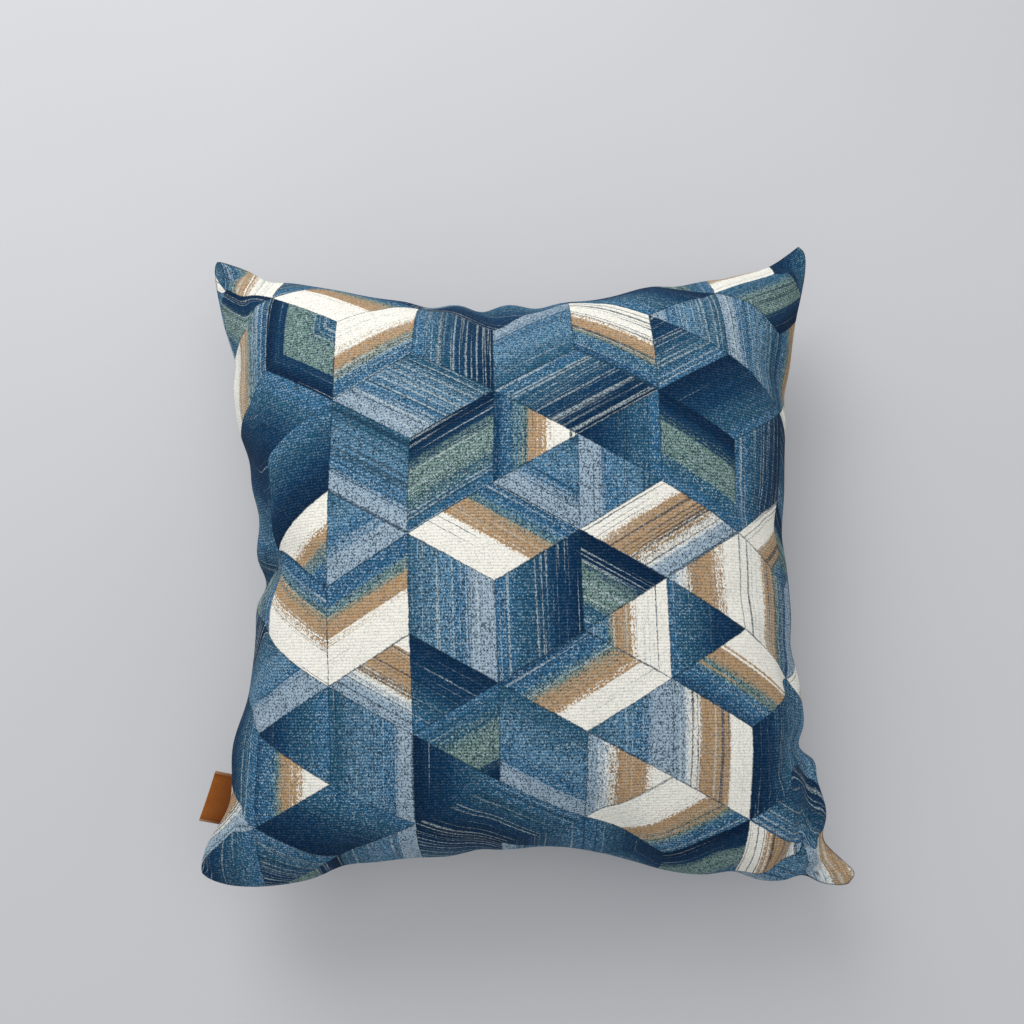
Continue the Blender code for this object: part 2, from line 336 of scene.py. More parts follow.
class CushionPrintSettings(bpy.types.PropertyGroup):
    """Colours and scale of the print and the weave."""

    block_edge: length_property(
        "Block edge", "Edge length of one printed diamond", 0.055, 0.01, 0.2)
    rib_pitch: length_property(
        "Rib pitch", "Distance between the woven ribs, each of two rows of yarn",
        0.0017, 0.0005, 0.01)
    yarn_pitch: length_property(
        "Yarn pitch", "Distance between the yarns across the ribs", 0.00060, 0.0003, 0.005)
    deep_navy: colour_property("Deep navy", "Darkest print colour", srgb(4, 34, 64))
    navy: colour_property("Navy", "Dark print colour", srgb(14, 58, 92))
    steel: colour_property("Steel blue", "Muted blue of the print", srgb(42, 92, 120))
    mid_blue: colour_property("Middle blue", "Clear blue of the print", srgb(56, 110, 148))
    soft_blue: colour_property("Soft blue", "Lighter blue of the print", srgb(92, 136, 166))
    grey_blue: colour_property("Grey blue", "Lilac grey of the print", srgb(152, 172, 188))
    cream: colour_property("Cream", "Light ground of the print", srgb(243, 239, 227))
    tan: colour_property("Tan", "Warm light brown of the print", srgb(182, 148, 108))
    ochre: colour_property("Ochre", "Warm dark brown of the print", srgb(132, 106, 76))
    sage: colour_property("Sage", "Grey green of the print", srgb(114, 140, 130))
    pale_streak: colour_property("Pale streak", "Fine dry-brushed streaks", srgb(206, 214, 208))
    yarn_fleck: colour_property(
        "Yarn fleck", "Pale yarn that shows through the print", srgb(186, 206, 216))
    outline: colour_property("Outline", "Fine drawn line round each block", srgb(14, 44, 62))
    ink_fleck: colour_property("Ink fleck", "Deepest yarns of the weave", srgb(16, 44, 62))


class CushionLabelSettings(bpy.types.PropertyGroup):
    """Size and colour of the leather label."""

    along_seam: length_property(
        "Along seam", "Width of the strip along the seam", 0.0305, 0.01, 0.1)
    reach: length_property(
        "Reach", "How far the folded strip stands out of the seam", 0.012, 0.005, 0.05)
    leather: length_property("Leather thickness", "Thickness of one layer", 0.0012, 0.0005, 0.003)
    place: FloatProperty(
        name="Place", description="Where its middle is along the seam, from -1 to 1",
        default=-0.67, min=-0.9, max=0.9,
    )
    colour: colour_property("Leather", "Brown of the leather", srgb(140, 77, 16))
    raw_colour: colour_property("Raw edge", "Pale cut edge of the leather", srgb(168, 138, 108))


class CushionStageSettings(bpy.types.PropertyGroup):
    """Camera, light and floor."""

    lens: FloatProperty(name="Lens", description="Focal length", default=35.16, min=10.0, max=200.0)
    distance: FloatProperty(
        name="Distance", description="From the camera to its aim",
        default=0.6824, min=0.2, unit="LENGTH",
    )
    elevation: FloatProperty(
        name="Elevation", description="Height of the view over the floor",
        default=radians(80.38), subtype="ANGLE",
    )
    turn: FloatProperty(
        name="Turn", description="Turn of the view about the upright",
        default=radians(-1.456), subtype="ANGLE",
    )
    roll: FloatProperty(
        name="Roll", description="Roll of the picture", default=radians(0.4826), subtype="ANGLE",
    )
    aim: FloatVectorProperty(
        name="Aim", description="Point at the middle of the picture",
        default=(-0.0012, 0.046, 0.03), subtype="TRANSLATION", unit="LENGTH",
    )
    floor: colour_property("Floor", "Plain pale floor", srgb(196, 196, 198))
    key_power: FloatProperty(
        name="Key power", description="Power of the key light", default=16.0, min=0.0)
    sky_strength: FloatProperty(
        name="Sky", description="Strength of the even light", default=0.62, min=0.0)


def bell(offset):
    """A smooth bump, 1 at no offset and almost 0 from an offset of 2."""
    return exp(-offset * offset)


def crowded(place):
    """Shift an even grid place from -1 to 1 toward the seams, where the form turns fastest."""
    return sin(EDGE_CROWDING * place) / sin(EDGE_CROWDING)


def side_coordinates(side, s, t):
    """Where (s, t) lies from one side seam: place along it and distance in from it."""
    inward = INWARD[side]
    return s * abs(inward.y) + t * abs(inward.x), 1.0 + s * inward.x + t * inward.y


def even_place(across, along, cover):
    """Where a panel place lies across the cushion, with its sides drawn in between the ears."""
    middle = cover.seam_half_at_middle + SIDE_ROLL
    spread = (cover.seam_half_at_corner - middle) * along ** 2
    roll = SIDE_ROLL * (1.0 - along ** 2) * abs(across) ** SIDE_ROLL_POWER
    return across * (middle + spread - roll)


def crease_depth(s, t, is_front):
    """How deep the soft troughs and hollows are at (s, t)."""
    depth = 0.0
    for crease in CREASES:
        along, distance = side_coordinates(crease.side, s, t)
        offset = along - crease.place - crease.slant * distance
        width = crease.width + CREASE_WIDENING * distance
        share = crease.front if is_front else crease.back
        depth += share * crease.depth * bell(offset / width) * bell(distance / crease.reach)
    for hollow in EAR_HOLLOWS:
        forward = (s * hollow.s + t * hollow.t) / 2.0
        sideways = (s * hollow.s - t * hollow.t) / 2.0
        along_share = bell((forward - hollow.place) / hollow.length)
        depth += hollow.depth * along_share * bell(sideways / hollow.width)
    return depth


def plane_move(s, t):
    """How bows, pinches and ears move a point; z is the lift of the ears."""
    move = Vector((0.0, 0.0, 0.0))
    for bow in BOWS:
        along, distance = side_coordinates(bow.side, s, t)
        share = bell((along - bow.place) / bow.width) * max(0.0, 1.0 - distance) ** BOW_POWER
        move -= INWARD[bow.side] * bow.out * share
    for crease in CREASES:
        along, distance = side_coordinates(crease.side, s, t)
        share = bell((along - crease.place) / crease.width) * bell(distance / PULL_REACH)
        move += INWARD[crease.side] * crease.pull * share
    for ear in EARS:
        toward = max(0.0, s * ear.s) * max(0.0, t * ear.t)
        move += Vector((ear.move_x, ear.move_y, ear.lift)) * toward ** ear.sharpness
        rounding = ear.blunt / sqrt(2.0) * toward ** ear.blunt_power
        move -= Vector((ear.s, ear.t, 0.0)) * rounding
    return move


def swollen_point(s, t, is_front, cover):
    """A point of the cover before it settles, for a panel place. Its height is from the seam."""
    fullness = sqrt(max(0.0, (1.0 - s * s) * (1.0 - t * t)))
    crown = cover.front_crown if is_front else cover.back_crown
    height = max(0.0, crown * fullness - crease_depth(s, t, is_front) * fullness ** CREASE_RISE)
    lump = Vector((LUMPS * s, LUMPS * t, LUMP_SEED if is_front else -LUMP_SEED))
    uneven = LUMP_HEIGHT * noise.noise(lump)
    height = height * cover.swelling + uneven * min(1.0, LUMP_EASE * fullness)
    height = height if is_front else -height
    return Vector((even_place(s, t, cover), even_place(t, s, cover), height)) + plane_move(s, t)


def seam_target(s, t, cover):
    """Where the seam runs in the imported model, from its own level, eased out for smoothing."""
    point = Vector((even_place(s, t, cover), even_place(t, s, cover), 0.0)) + plane_move(s, t)
    return point + Vector((s, t, 0.0)) * SEAM_EASE


def sewn_panels(cover):
    """Two square panels sewn along their edges, each point keeping its place on its panel."""
    bm = bmesh.new()
    flat = bm.verts.layers.float_vector.new(PANEL_PLACE)
    seam = bm.edges.layers.float.new("crease_edge")
    bm.loops.layers.uv.new(CLOTH_MAP)
    steps = cover.panel_steps
    bmesh.ops.create_grid(bm, x_segments=steps, y_segments=steps, size=1.0)
    copied = bmesh.ops.duplicate(bm, geom=bm.verts[:] + bm.edges[:] + bm.faces[:])["geom"]
    back_faces = [item for item in copied if isinstance(item, bmesh.types.BMFace)]
    bmesh.ops.reverse_faces(bm, faces=back_faces)
    back = {vertex for face in back_faces for vertex in face.verts}
    for vertex in bm.verts:
        s, t = crowded(vertex.co.x), crowded(vertex.co.y)
        vertex[flat] = Vector((s, t, -1.0 if vertex in back else 1.0))
        vertex.co = swollen_point(s, t, vertex not in back, cover)
    rims = {face: face.verts[0] in back for face in bm.faces}
    bmesh.ops.remove_doubles(bm, verts=bm.verts[:], dist=WELD)
    for edge in bm.edges:
        if len({rims[face] for face in edge.link_faces}) == 2:
            edge[seam] = SEAM_CREASE
            edge.smooth = False
    return bm


def flat_places(mesh):
    """Every vertex's place on the flat cloth: s, t and which panel."""
    places = np.zeros(len(mesh.vertices) * 3)
    mesh.attributes[PANEL_PLACE].data.foreach_get("vector", places)
    return places.reshape(-1, 3)


def settled_points(piece):
    """Where the piece's vertices are with its modifiers."""
    graph = bpy.context.evaluated_depsgraph_get()
    settled = piece.evaluated_get(graph)
    mesh = settled.to_mesh()
    points = np.zeros(len(mesh.vertices) * 3)
    mesh.vertices.foreach_get("co", points)
    settled.to_mesh_clear()
    return points.reshape(-1, 3)


def settle(piece, cover):
    """Let the filling push the cloth out until it settles between its seams. Return its points."""
    half = cover.flat_side / 2.0
    places = flat_places(piece.data)
    piece.shape_key_add(name="Basis")
    cut = piece.shape_key_add(name="cut")
    flat = np.column_stack([places[:, :2] * half, np.zeros(len(places))])
    cut.data.foreach_set("co", flat.ravel())
    cut.value = 0.0
    cloth = piece.modifiers.new("cloth", "CLOTH")
    settings = cloth.settings
    settings.rest_shape_key = cut
    settings.use_pressure = True
    settings.uniform_pressure_force = cover.fill_pressure
    settings.effector_weights.gravity = 0.0
    for name, value in CLOTH_SETTINGS.items():
        setattr(settings, name, value)
    cloth.collision_settings.use_collision = False
    cloth.point_cache.frame_start = 1
    cloth.point_cache.frame_end = cover.settle_frames
    scene = bpy.context.scene
    for frame_number in range(1, cover.settle_frames + 1):
        scene.frame_set(frame_number)
    points = settled_points(piece)
    piece.modifiers.clear()
    piece.shape_key_clear()
    scene.frame_set(1)
    return points


def rounds_beside(places):
    """How far round the seam each point is, if it is taken straight across to each of the sides."""
    s, t = places[:, 0], places[:, 1]
    return {
        "bottom": (s + 1.0) / 2.0, "right": 1.0 + (t + 1.0) / 2.0,
        "top": 2.0 + (1.0 - s) / 2.0, "left": 3.0 + (1.0 - t) / 2.0,
    }


def seam_loop(places):
    """The seam's vertices in order round the cushion, and how far round each is, in flat sides."""
    s, t = places[:, 0], places[:, 1]
    sides = {
        "bottom": t < -ON_SEAM, "right": s > ON_SEAM, "top": t > ON_SEAM,
        "left": (s < -ON_SEAM) & (t > -ON_SEAM),
    }
    rounds = np.full(len(places), -1.0)
    for side, beside in rounds_beside(places).items():
        rounds[sides[side]] = beside[sides[side]]
    seam = np.nonzero(rounds >= 0.0)[0]
    seam = seam[np.argsort(rounds[seam])]
    return seam, rounds[seam]


def along_seam(rounds, values, round_places):
    """Values known round the seam, read at other places round it."""
    wrapped = np.append(rounds, rounds[0] + 4.0)
    return np.column_stack([
        np.interp(round_places, wrapped, np.append(column, column[0])) for column in values.T
    ])


def spread_in(places, rounds, values):
    """Values known round the seam, blended over the panels inside it."""
    beside = {
        side: along_seam(rounds, values, across) for side, across in rounds_beside(places).items()
    }
    right = ((places[:, 0] + 1.0) / 2.0)[:, None]
    up = ((places[:, 1] + 1.0) / 2.0)[:, None]
    corners = along_seam(rounds, values, np.array([0.0, 1.0, 2.0, 3.0]))
    spread = (1.0 - up) * beside["bottom"] + up * beside["top"]
    spread += (1.0 - right) * beside["left"] + right * beside["right"]
    spread -= (1.0 - right) * (1.0 - up) * corners[0] + right * (1.0 - up) * corners[1]
    return spread - right * up * corners[2] - (1.0 - right) * up * corners[3]


def fit_outline(points, places, cover):
    """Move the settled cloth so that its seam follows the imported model's, with gathers of its own.

    The slow part of the move is spread over the whole panel, and the rest stays near the seam. The
    gathers fade toward the ears.
    """
    seam, rounds = seam_loop(places)
    wanted = np.array([seam_target(places[i, 0], places[i, 1], cover) for i in seam])
    gaps = np.abs(rounds[:, None] - rounds[None, :])
    gaps = np.minimum(gaps, 4.0 - gaps)
    spans = (np.roll(rounds, -1) - np.roll(rounds, 1)) % 4.0
    weights = np.exp(-((gaps / OUTLINE_BLUR) ** 2)) * spans[None, :]
    weights /= weights.sum(axis=1)[:, None]
    strays = points[seam] - wanted
    from_ear = np.abs(rounds - np.round(rounds))
    gathers = (strays - weights @ strays) * np.clip(from_ear / EAR_SHARE - 0.5, 0.0, 1.0)[:, None]
    move = gathers - strays
    slow = weights @ move

    beside = rounds_beside(places)
    distances = np.array([side_coordinates(side, *places[:, :2].T)[1] for side in beside])
    nearest = np.argmin(distances, axis=0)
    near_seam = np.zeros_like(points)
    for number, across in enumerate(beside.values()):
        mine = nearest == number
        share = np.exp(-((distances[number, mine] / PINCH_REACH) ** 2))
        near_seam[mine] = along_seam(rounds, move - slow, across[mine]) * share[:, None]
    return points + spread_in(places, rounds, slow) + near_seam


def fold_shares(places):
    """What share of its height over the seam each place of the front loses to the folds."""
    kept = np.ones(len(places))
    for fold in FOLDS:
        start = np.array([fold.s, fold.t])
        run = np.array([fold.end_s, fold.end_t]) - start
        length = np.hypot(*run)
        ahead = np.array([run[1], -run[0]]) / length
        offset = places[:, :2] - start
        beyond = offset @ ahead
        past_end = np.maximum(np.abs(offset @ run / length - length / 2.0) - length / 2.0, 0.0)
        rise = np.clip(beyond / fold.near * 0.5 + 0.5, 0.0, 1.0)
        share = fold.share * rise * rise * (3.0 - 2.0 * rise)
        share *= np.exp(-((np.maximum(beyond, 0.0) / fold.far) ** 2))
        kept *= 1.0 - share * np.exp(-((past_end / FOLD_END_REACH) ** 2))
    return 1.0 - kept


def press_folds(points, places):
    """Press the folds of the front down toward the level of the seam."""
    seam, rounds = seam_loop(places)
    level = spread_in(places, rounds, points[seam][:, 2:])[:, 0]
    share = np.where(places[:, 2] > 0.0, fold_shares(places), 0.0)
    pressed = points.copy()
    pressed[:, 2] -= share * (points[:, 2] - level)
    return pressed


def push_seam_out(points, places, cover):
    """Let the seam stand out a little, stiffened by the turned-in edges behind it."""
    half = cover.flat_side / 2.0
    pushed = points.copy()
    for side, inward in INWARD.items():
        distance = half * side_coordinates(side, *places[:, :2].T)[1]
        share = np.exp(-((distance / cover.seam_lip_reach) ** LIP_POWER))
        pushed -= np.outer(share * cover.seam_lip, np.array(inward))
    return pushed


def crowned_points(points, cover):
    """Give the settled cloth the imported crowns."""
    heights = points[:, 2]
    front = cover.front_crown / heights.max()
    back = cover.back_crown / -heights.min()
    heights = np.where(heights > 0.0, heights * front, heights * back)
    return np.column_stack([points[:, :2], heights])


def laid_heights(heights, cover):
    """Heights from the floor, pressed softly flat at the bottom."""
    lifted = heights + cover.back_crown - cover.rest_flattening
    return (lifted + np.sqrt(lifted ** 2 + REST_SOFTNESS ** 2)) / 2.0


def panel_grid(places, facing):
    """Vertex numbers of one panel, in rows up the cloth and columns across it."""
    steps = np.unique(places[:, 0].round(5))
    on_seam = np.abs(places[:, :2]).max(axis=1) > ON_SEAM
    mine = np.nonzero((places[:, 2] * facing > 0.0) | on_seam)[0]
    row, column = (np.searchsorted(steps, places[mine, axis].round(5)) for axis in (1, 0))
    grid = np.zeros((len(steps), len(steps)), dtype=int)
    grid[row, column] = mine
    return grid


def lay_cloth(mesh, points, places):
    """Measure the cloth over its filled form: places for the print, and distances from the seam."""
    corners = np.zeros(len(mesh.loops), dtype=int)
    mesh.loops.foreach_get("vertex_index", corners)
    inside = np.abs(places[:, :2]).max(axis=1) < ON_SEAM
    facings = (places[:, 2] * inside)[corners.reshape(-1, 4)].sum(axis=1).repeat(4)
    print_places = np.zeros((len(corners), 2))
    from_seam = np.zeros(len(points))
    for facing, shift in ((1.0, 0.0), (-1.0, BACK_PANEL_SHIFT)):
        grid = panel_grid(places, facing)
        middle = len(grid) // 2
        cloth = points[grid]
        across, up = (
            np.cumsum(np.linalg.norm(np.diff(cloth, axis=axis, prepend=first), axis=2), axis=axis)
            for axis, first in ((1, cloth[:, :1]), (0, cloth[:1]))
        )
        measured = np.zeros((len(points), 2))
        measured[grid, 0] = across - across[:, middle:middle + 1] + shift
        measured[grid, 1] = up - up[middle:middle + 1]
        from_seam[grid] = np.minimum.reduce([across, across[:, -1:] - across, up, up[-1:] - up])
        mine = facings * facing > 0.0
        print_places[mine] = measured[corners[mine]]
    mesh.uv_layers[CLOTH_MAP].data.foreach_set("uv", print_places.ravel())
    mesh.attributes.new(FROM_SEAM, "FLOAT", "POINT").data.foreach_set("value", from_seam)


def new_piece(name, bm):
    """Turn a finished bmesh into a smooth-shaded object of the scene."""
    mesh = bpy.data.meshes.new(name)
    bm.to_mesh(mesh)
    bm.free()
    mesh.shade_smooth()
    piece = bpy.data.objects.new(name, mesh)
    bpy.context.scene.collection.objects.link(piece)
    return piece


def arithmetic(operation, swapped=False):
    """An operator of Number, made as one node."""
    def made(self, other):
        values = (other, self) if swapped else (self, other)
        return self.paint.math(operation, *values)
    return made


class Number:
    """A number that a material works out. What is done with it adds nodes to the material."""

    def __init__(self, paint, socket):
        self.paint = paint
        self.socket = socket

    __add__ = arithmetic("ADD")
    __sub__ = arithmetic("SUBTRACT")
    __rsub__ = arithmetic("SUBTRACT", swapped=True)
    __mul__ = arithmetic("MULTIPLY")
    __truediv__ = arithmetic("DIVIDE")
    __mod__ = arithmetic("FLOORED_MODULO")
    __gt__ = arithmetic("GREATER_THAN")
    __lt__ = arithmetic("LESS_THAN")

    def __abs__(self):
        return self.paint.math("ABSOLUTE", self)

    def whole(self):
        """The whole number below it."""
        return self.paint.math("FLOOR", self)

    def arch(self):
        """0 at each whole number, rising to 1 halfway between."""
        return self.paint.math("SINE", self.paint.math("FRACT", self) * pi)

    def swing(self, size):
        """A number from 0 to 1 made to swing about 0, by size in all."""
        return (self - 0.5) * size

    def between(self, low, high, start=0.0, end=1.0):
        """A soft step from low to high, as start to end."""
        inputs = {0: self, 1: low, 2: high, 3: start, 4: end}
        return self.paint.number("MapRange", inputs, interpolation_type="SMOOTHSTEP")


class Shades:
    """Adds the nodes of one material and joins each to what feeds it."""

    def __init__(self, name):
        self.material = bpy.data.materials.new(name)
        self.material.use_nodes = True
        self.tree = self.material.node_tree
        self.tree.nodes.clear()

    def node(self, kind, inputs=None, **settings):
        """A node with its settings made and its inputs, by name or number, joined or set."""
        node = self.tree.nodes.new("ShaderNode" + kind)
        for key, value in settings.items():
            setattr(node, key, value)
        for place, value in (inputs or {}).items():
            value = value.socket if isinstance(value, Number) else value
            if isinstance(value, bpy.types.NodeSocket):
                self.tree.links.new(value, node.inputs[place])
            else:
                node.inputs[place].default_value = value
        return node

    def number(self, kind, inputs=None, output=0, **settings):
        """The number that a new node gives."""
        return Number(self, self.node(kind, inputs, **settings).outputs[output])

    def math(self, operation, *values):
        """One arithmetic step."""
        return self.number("Math", dict(enumerate(values)), operation=operation)

    def vector(self, operation, *values):
        """One vector step."""
        node = self.node("VectorMath", dict(enumerate(values)), operation=operation)
        return node.outputs["Vector"]

    def length(self, vector):
        """The length of a vector."""
        return self.number("VectorMath", {0: vector}, output="Value", operation="LENGTH")

    def split(self, vector):
        """The three numbers of a vector."""
        return [Number(self, part) for part in self.node("SeparateXYZ", {0: vector}).outputs[:3]]

    def joined(self, x, y, z=0.0):
        """A vector of three numbers."""
        return self.node("CombineXYZ", {0: x, 1: y, 2: z}).outputs[0]

    def least(self, first, second):
        """The smaller of two numbers."""
        return self.math("MINIMUM", first, second)

    def pick(self, share, first, second):
        """A number between two, by share."""
        return self.number("Mix", {0: share, 2: first, 3: second})

    def pick_vector(self, share, first, second):
        """A vector between two, by share."""
        return self.node("Mix", {0: share, 4: first, 5: second}, data_type="VECTOR").outputs[1]

    def tint(self, share, first, second, blend="MIX"):
        """A colour between two, by share."""
        node = self.node("Mix", {0: share, 6: first, 7: second}, data_type="RGBA", blend_type=blend)
        return node.outputs[2]

    def dim(self, colour, share):
        """A colour darkened to a share of itself."""
        return self.tint(1.0, colour, self.joined(share, share, share), "MULTIPLY")

    def rough(self, place, scale, detail=2.0, roughness=0.5):
        """Soft noise from 0 to 1."""
        inputs = {"Vector": place, "Scale": scale, "Detail": detail, "Roughness": roughness}
        return self.number("TexNoise", inputs)

    def lots(self, place, seed):
        """Three unlike numbers from 0 to 1 for each whole place."""
        made = self.node("TexWhiteNoise", {"Vector": place, "W": seed}, noise_dimensions="4D")
        return self.split(made.outputs["Color"])

    def ramp(self, share, stops):
        """A colour ramp of (place, colour) stops."""
        node = self.node("ValToRGB", {0: share})
        elements = node.color_ramp.elements
        for number, (place, colour) in enumerate(stops):
            stop = elements[number] if number < 2 else elements.new(place)
            stop.position = place
            stop.color = colour
        return node.outputs[0]

    def finish(self, colour, roughness, height, fixed):
        """The shader and its surface relief. Heights are in millimetres."""
        relief = self.node("Bump", {"Height": height, "Distance": MILLIMETRE, "Strength": 1.0})
        inputs = {"Base Color": colour, "Roughness": roughness, "Normal": relief.outputs[0]}
        shader = self.node("BsdfPrincipled", {**inputs, **fixed})
        self.node("OutputMaterial", {0: shader.outputs[0]})
        return self.material


def block_places(paint, flat, edge):
    """Lay traditional tumbling blocks over the cloth: each block's own number and a place in it.

    Hexagons stand on a point, and three diamonds fill each. The place runs from 0 to 1 along the
    two edges of the diamond, u and v.
    """
    pitch = (sqrt(3.0) * edge, 3.0 * edge, 1.0)
    half = (0.5, 0.5, 0.0)
    third_turn = radians(120.0)
    cells = paint.vector("DIVIDE", flat, pitch)
    first = paint.vector("ADD", paint.vector("FLOOR", cells), half)
    second = paint.vector("FLOOR", paint.vector("ADD", cells, half))
    from_first, from_second = (
        paint.vector("MULTIPLY", paint.vector("SUBTRACT", cells, centre), pitch)
        for centre in (first, second)
    )
    nearer = paint.length(from_second) < paint.length(from_first)
    column, row, _ = paint.split(paint.pick_vector(nearer, first, second))
    offset = paint.pick_vector(nearer, from_first, from_second)
    x, y, _ = paint.split(offset)
    third = ((paint.math("ARCTAN2", y, x) - radians(30.0)) / third_turn).whole()
    back = {"Vector": offset, "Angle": third * -third_turn}
    turned = paint.node("VectorRotate", back, rotation_type="Z_AXIS").outputs[0]
    across, up, _ = paint.split(turned)
    lean = across / sqrt(3.0)
    return paint.joined(column, row, third % 3.0), (up + lean) / edge, (up - lean) / edge


def block_colours(paint, flat, block, u, v, grain, colours):
    """Colour each block in streaked bands along one of its edges, stippled where they meet."""
    height = colours.block_edge * sqrt(3.0) / 2.0
    way, kind, tone = paint.lots(block, 1.0)
    flip, shift, dry = paint.lots(block, 2.0)
    halved, half_kind, half_way = paint.lots(block, 3.0)

    is_halved = halved > 1.0 - HALVED_BLOCKS
    upper = (u > v) * is_halved
    kind = paint.pick(upper, kind, half_kind)
    along_v = paint.pick(upper, way, half_way) > 0.5
    band = paint.pick(along_v, u, v)
    run = paint.pick(along_v, v, u)
    band = paint.pick(flip > 0.5, band, 1.0 - band)

    band_seed, _, run_seed = paint.split(paint.vector("MULTIPLY", block, BLOCK_SEEDS))
    wide = band * height + band_seed
    long = run * height + run_seed

    def streaks(brush):
        """Brush streaks along the band: noise drawn out along it."""
        place = paint.joined(wide / brush.width, long / brush.length, brush.seed)
        return paint.rough(place, 1.0, 2.0, 0.55)

    moved = streaks(BROAD_STREAKS).swing(0.30) + streaks(FINE_STREAKS).swing(0.26)
    stipple = grain.swing(paint.pick(half_way, 0.06, 0.30))
    place = band + moved + shift * 0.12 + stipple
    colour = None
    for from_lot, stops in BANDS:
        bands = paint.ramp(place, [(stop, getattr(colours, name)) for stop, name in stops])
        colour = paint.tint(kind > from_lot, colour, bands) if colour else bands

    for brush, lot, few, many, share, ink in (
        (DRY_STREAKS, dry, 0.70, 0.54, 0.46, colours.pale_streak),
        (INK_STREAKS, tone, 0.68, 0.55, 0.66, colours.outline),
    ):
        level = paint.pick(lot, few, many)
        marks = streaks(brush).between(level, level + STREAK_SOFTNESS, 0.0, share)
        colour = paint.tint(marks, colour, ink)

    edge_place = paint.least(paint.least(u, v), paint.least(1.0 - u, 1.0 - v))
    middle = abs(u - v) + (1.0 - is_halved)
    gap = paint.least(edge_place, middle) * height
    width = paint.rough(flat, 55.0, 1.0).between(0.35, 0.6, 0.0, PEN_WIDTH)
    width = width + paint.rough(flat, 900.0, 1.0) * PEN_SHAKE
    drawn = 1.0 - gap.between(width, width + PEN_SOFTNESS)
    return paint.tint(drawn * PEN_SHARE, colour, colours.outline)


def woven_colour(paint, colour, grain, deep_yarns, painted_rib_shade, rib_round, colours):
    """Let light and deep yarns show through a print, most in its middle tones, and paint shade into
    its furrows.
    """
    light = paint.number("RGBToBW", {0: colour})
    dusty = light.between(0.01, 0.16, 0.08, 1.0) * light.between(0.35, 0.75, 1.0, 0.10)
    red, _, blue = paint.split(colour)
    cool = (red - blue).between(0.02, 0.20, 1.0, 0.5)
    bare = grain.between(0.52, 0.80) * (dusty * 0.72) * rib_round.between(0.1, 0.8, 0.40, 1.0)
    colour = paint.tint(bare * cool, colour, colours.yarn_fleck)
    inked = deep_yarns.between(0.54, 0.26, 0.0, 0.90) * cool * paint.pick(0.35, dusty, 1.0)
    colour = paint.tint(inked, colour, colours.ink_fleck)
    # Painted shade in the furrows between the ribs: the print is dimmed there to this share, more on
    # dark colours than on light ones.
    floor = light.between(0.05, 0.60, 0.44, 0.88)
    return paint.dim(colour, painted_rib_shade.between(0.0, 0.65, floor, 1.0))


def printed_cloth(colours):
    """Printed, ribbed furnishing cloth: a heathered weave with painted shade in its furrows, and a
    fine seam line of painted shade.
    """
    paint = Shades("printed_ribbed_cloth")
    flat = paint.node("UVMap", uv_map=CLOTH_MAP).outputs["UV"]
    x, y, _ = paint.split(flat)
    rib_place = (y + paint.rough(flat, 60.0, 1.0) * ROW_WAVER) / colours.rib_pitch
    row_place = rib_place * 2.0
    row = row_place.whole()
    yarn_place = x / colours.yarn_pitch + row % 2.0 * 0.5
    rib_round, row_round, yarn_round = rib_place.arch(), row_place.arch(), yarn_place.arch()
    yarn, yarn_shade, _ = paint.lots(paint.joined(yarn_place.whole(), row), 5.0)
    fleck = paint.rough(flat, 2700.0, 2.0, 0.75)
    grain = paint.pick(0.5, yarn, fleck)

    shake = paint.node("TexNoise", {"Vector": flat, "Scale": 420.0, "Detail": 2.0})
    shake = paint.vector("SUBTRACT", shake.outputs["Color"], (0.5, 0.5, 0.5))
    shake = paint.vector("MULTIPLY", shake, (PRINT_SHAKE, PRINT_SHAKE, 0.0))
    place = paint.vector("ADD", paint.vector("ADD", flat, shake), PRINT_START)
    block, u, v = block_places(paint, place, colours.block_edge)
    colour = block_colours(paint, flat, block, u, v, grain, colours)
    # Painted shade follows the weave: darkest in the furrows between ribs and yarns, none on the tops
    # of the ribs.
    painted_rib_shade = rib_round * paint.pick(0.25, 1.0, yarn_round)
    deep_yarns = paint.pick(0.5, yarn_shade, fleck)
    colour = woven_colour(paint, colour, grain, deep_yarns, painted_rib_shade, rib_round, colours)

    from_seam = paint.number("Attribute", output="Fac", attribute_name=FROM_SEAM)
    # Painted shade along the seam's groove: the print is darkened to a share of its brightness there.
    colour = paint.dim(colour, from_seam.between(0.0004, 0.0020, SEAM_PAINTED_SHADE, 1.0))
    weave = rib_round * RIB_RELIEF + row_round * yarn_round * YARN_RELIEF + grain * FLECK_RELIEF
    panel = paint.node("Attribute", attribute_name=PANEL_PLACE).outputs["Vector"]
    panel_x, panel_y, _ = paint.split(paint.vector("ABSOLUTE", panel))
    along = paint.pick(panel_x > panel_y, x, y)
    pucker = paint.rough(paint.joined(along, from_seam * 0.25), 110.0, 2.0)
    pucker = pucker * from_seam.between(0.0, PUCKER_REACH, PUCKER_RELIEF, 0.0)
    groove = from_seam.between(0.0, SEAM_GROOVE_REACH, SEAM_GROOVE, 0.0)
    dull = grain.between(0.3, 0.8, 0.80, 0.95)
    fixed = {"Specular IOR Level": 0.05, "Sheen Weight": 0.01, "Sheen Roughness": 0.4}
    return paint.finish(colour, dull, weave + pucker + groove, fixed)


def toned(colour, shares):
    """A colour with its red, green and blue each brought to a share of itself, and at most 1."""
    return [min(1.0, channel * share) for channel, share in zip(colour, shares)] + [1.0]


